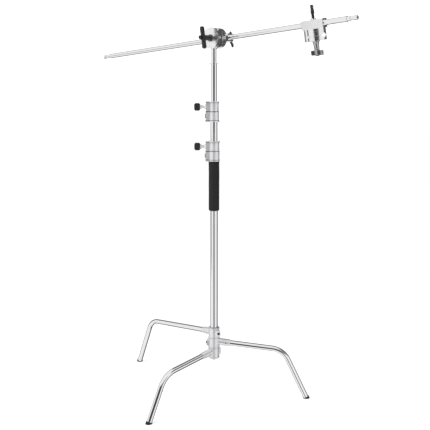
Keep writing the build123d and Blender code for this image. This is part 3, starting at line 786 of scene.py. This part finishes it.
face_rings = rings_tree(jaw_face_alloy)
for head, facts in heads.items():
    joint = joints[f"{head}_handle_turn"]
    facts["axis"] = Vector(joint["axis"]).normalized()
    facts["origin"] = Vector(joint["pos_m"])
    if head == "stand":
        facts["origin"] = arm_middle
    facts["frame"] = frame_at(facts["origin"], facts["axis"], arm_axis)
    casting(f"{head}_head_body", f"{head}_head", "head_alloy", 0.0007, head_alloy)
    casting(f"{head}_inner_jaw", f"{head}_inner_jaw", "head_alloy", 0.0006, head_alloy)
    casting(f"{head}_outer_jaw", f"{head}_outer_jaw", "head_alloy", 0.0006, head_alloy)
    low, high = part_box(f"{head}_outer_jaw")
    jaw_middle = ((low + high) / 2 - facts["origin"]).dot(facts["axis"])
    jaw_back = jaw_middle + jaw_thickness / 2
    facts["jaw_back"] = jaw_back
    plate_profile = (
        (-plate_sink, plate_bore),
        (-plate_sink, disc_radius - plate_edge),
        (plate_rise, disc_radius - plate_edge - plate_slope),
        (plate_rise, plate_bore),
    )
    plate = turned(bmesh.new(), plate_profile, (0, 0, 0), Z_AXIS, 96, closed=True)
    face = piece_from(plate, f"{head}_jaw_face")
    grown(face, face_rings, {
        "Ring count": ring_count,
        "First radius": first_ring,
        "Last radius": disc_radius - ring_margin,
        "Ridge": ring_ridge,
    })
    placed(face, facts["frame"] @ Matrix.Translation((0, 0, jaw_back)))
    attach(face, f"{head}_outer_jaw")
    casting(f"{head}_thrust_washer", f"{head}_outer_jaw", "bright_steel", 0.0003, washer_steel)
    casting(f"{head}_centre_bolt", f"{head}_head", "bright_steel", 0.0004, black_oxide)
    casting(f"{head}_receiver_screw", f"{head}_receiver_screw", "bright_steel", 0.0003, black_oxide)

# ---------------------------------------------------------------------------- handles
# The main handle of each head is a cast tee: a tapered hub that flows into an S-shaped bar. The
# receiver's small handle is a wing with upswept ends. The wings and the stand head's tee are coated
# black, and the hung head's tee is plated.
black_handle = surface("black_coated_handle", (0.045, 0.045, 0.05), 0.3, 0.3, 500, 0.2, tint=0.7)
plated_handle = surface("dark_plated_handle", (0.5, 0.5, 0.53), 1.0, 0.16, 500, 0.08, tint=0.85)


def cast_handle(name, bar, hub, place, material, boxy, voxel=0.0007, around=28):
    """A bar lofted through sections and a turned hub, flowed together into one casting.

    `bar` lists each section's centre, half width and half depth. A section is an ellipse at a
    `boxy` of 1 and nears a rectangle towards 0.
    """
    shape = bmesh.new()
    rings = []
    for centre, half_width, half_depth in bar:
        ring = []
        for step in range(around):
            angle = 2 * math.pi * step / around
            over = math.cos(angle)
            up = math.sin(angle)
            width = half_width * math.copysign(abs(over) ** boxy, over)
            depth = half_depth * math.copysign(abs(up) ** boxy, up)
            ring.append(shape.verts.new(Vector(centre) + Vector((0, width, depth))))
        rings.append(ring)
    for low_ring, high_ring in zip(rings, rings[1:]):
        for step in range(around):
            after = (step + 1) % around
            shape.faces.new((low_ring[step], low_ring[after], high_ring[after], high_ring[step]))
    shape.faces.new(rings[0])
    shape.faces.new(rings[-1])
    turned(shape, hub, (0, 0, 0), Z_AXIS, 48)
    handle = piece_from(shape, name)
    flow = handle.modifiers.new("flow", "REMESH")
    flow.mode = "VOXEL"
    flow.voxel_size = voxel
    soft = handle.modifiers.new("soft", "SMOOTH")
    soft.factor = 0.6
    soft.iterations = 7
    made = bpy.data.meshes.new_from_object(handle.evaluated_get(bpy.context.evaluated_depsgraph_get()))
    handle.modifiers.clear()
    handle.data = made
    made.materials.clear()
    made.materials.append(material)
    for face in made.polygons:
        face.use_smooth = True
    return placed(handle, place)


tee_span = 0.0332
tee_half_width = 0.0043
tee_half_depth = 0.0075
tee_sweep = 0.003
tee_hub = 0.024
tee_flange = 0.0022
tee_flange_radius = 0.0098
tee_root_radius = 0.0090
tee_middle_radius = 0.0079
tee_neck_radius = 0.0076
tee_end_radius = 0.0072
wing_span = 0.0255
wing_half_width = 0.0037
wing_half_depth = 0.0044
wing_rise = 0.010
wing_bend = 0.7  # share of the span where the wing is upswept
wing_start = 0.029
wing_hub = 0.014
wing_seat = 0.0042
wing_root_radius = 0.0055
wing_waist_radius = 0.0049
wing_end_radius = 0.0046
head_turns = {"stand": (88.0, 97.0), "hung": (24.0, 62.0)}
tee_finish = {"stand": (black_handle, "black_handle"), "hung": (plated_handle, "plated_handle")}
for head, (tee_turn, wing_turn) in head_turns.items():
    facts = heads[head]
    tee_frame = facts["frame"] @ Matrix.Rotation(math.radians(tee_turn), 4, "Z")
    start = facts["jaw_back"] + washer_thickness
    bar_middle = start + tee_hub + tee_half_depth
    bar = []
    for step in range(-16, 17):
        share = step / 16
        edge = math.sqrt(max(1 - abs(share) ** 16, 0.05))
        centre = (share * tee_span, tee_sweep * math.sin(share * math.pi / 2), bar_middle)
        width = tee_half_width * (0.92 + 0.14 * share * share) * edge
        depth = tee_half_depth * (0.94 + 0.06 * share * share) * (0.55 + 0.45 * edge)
        bar.append((centre, width, depth))
    tee_end = start + tee_hub + 2 * tee_half_depth
    hub = [
        (start, 0),
        (start, tee_flange_radius),
        (start + tee_flange, tee_flange_radius),
        (start + tee_flange + 0.001, tee_root_radius),
        (start + tee_hub * 0.6, tee_middle_radius),
        (start + tee_hub, tee_neck_radius),
        (tee_end, tee_end_radius),
        (tee_end, 0),
    ]
    finish, finish_slot = tee_finish[head]
    tee = cast_handle(f"{head}_tee_handle", bar, hub, tee_frame, finish, 0.4)
    fitted(tee, f"{head}_handle", finish_slot, f"{head}_handle")

    wing_frame = facts["frame"] @ Matrix.Rotation(math.radians(wing_turn), 4, "Z")
    wing_frame = wing_frame @ Matrix.Rotation(math.pi, 4, "X")
    wing = []
    for step in range(-14, 15):
        share = step / 14
        edge = math.sqrt(max(1 - abs(share) ** 8, 0.03))
        bend = min(abs(share) / wing_bend, 1.0)
        rise = wing_start + wing_hub - wing_seat + wing_rise * bend * bend * (3 - 2 * bend)
        centre = (share * wing_span, 0, rise)
        wing.append((centre, wing_half_width * edge, wing_half_depth * edge))
    wing_end = wing_start + wing_hub - 0.001
    wing_base = [
        (wing_start, 0),
        (wing_start, wing_root_radius),
        (wing_start + wing_hub * 0.7, wing_waist_radius),
        (wing_end, wing_end_radius),
        (wing_end, 0),
    ]
    small = cast_handle(f"{head}_wing_handle", wing, wing_base, wing_frame, black_handle, 0.7, 0.0006)
    fitted(small, f"{head}_receiver_screw", "black_handle", f"{head}_small_handle")
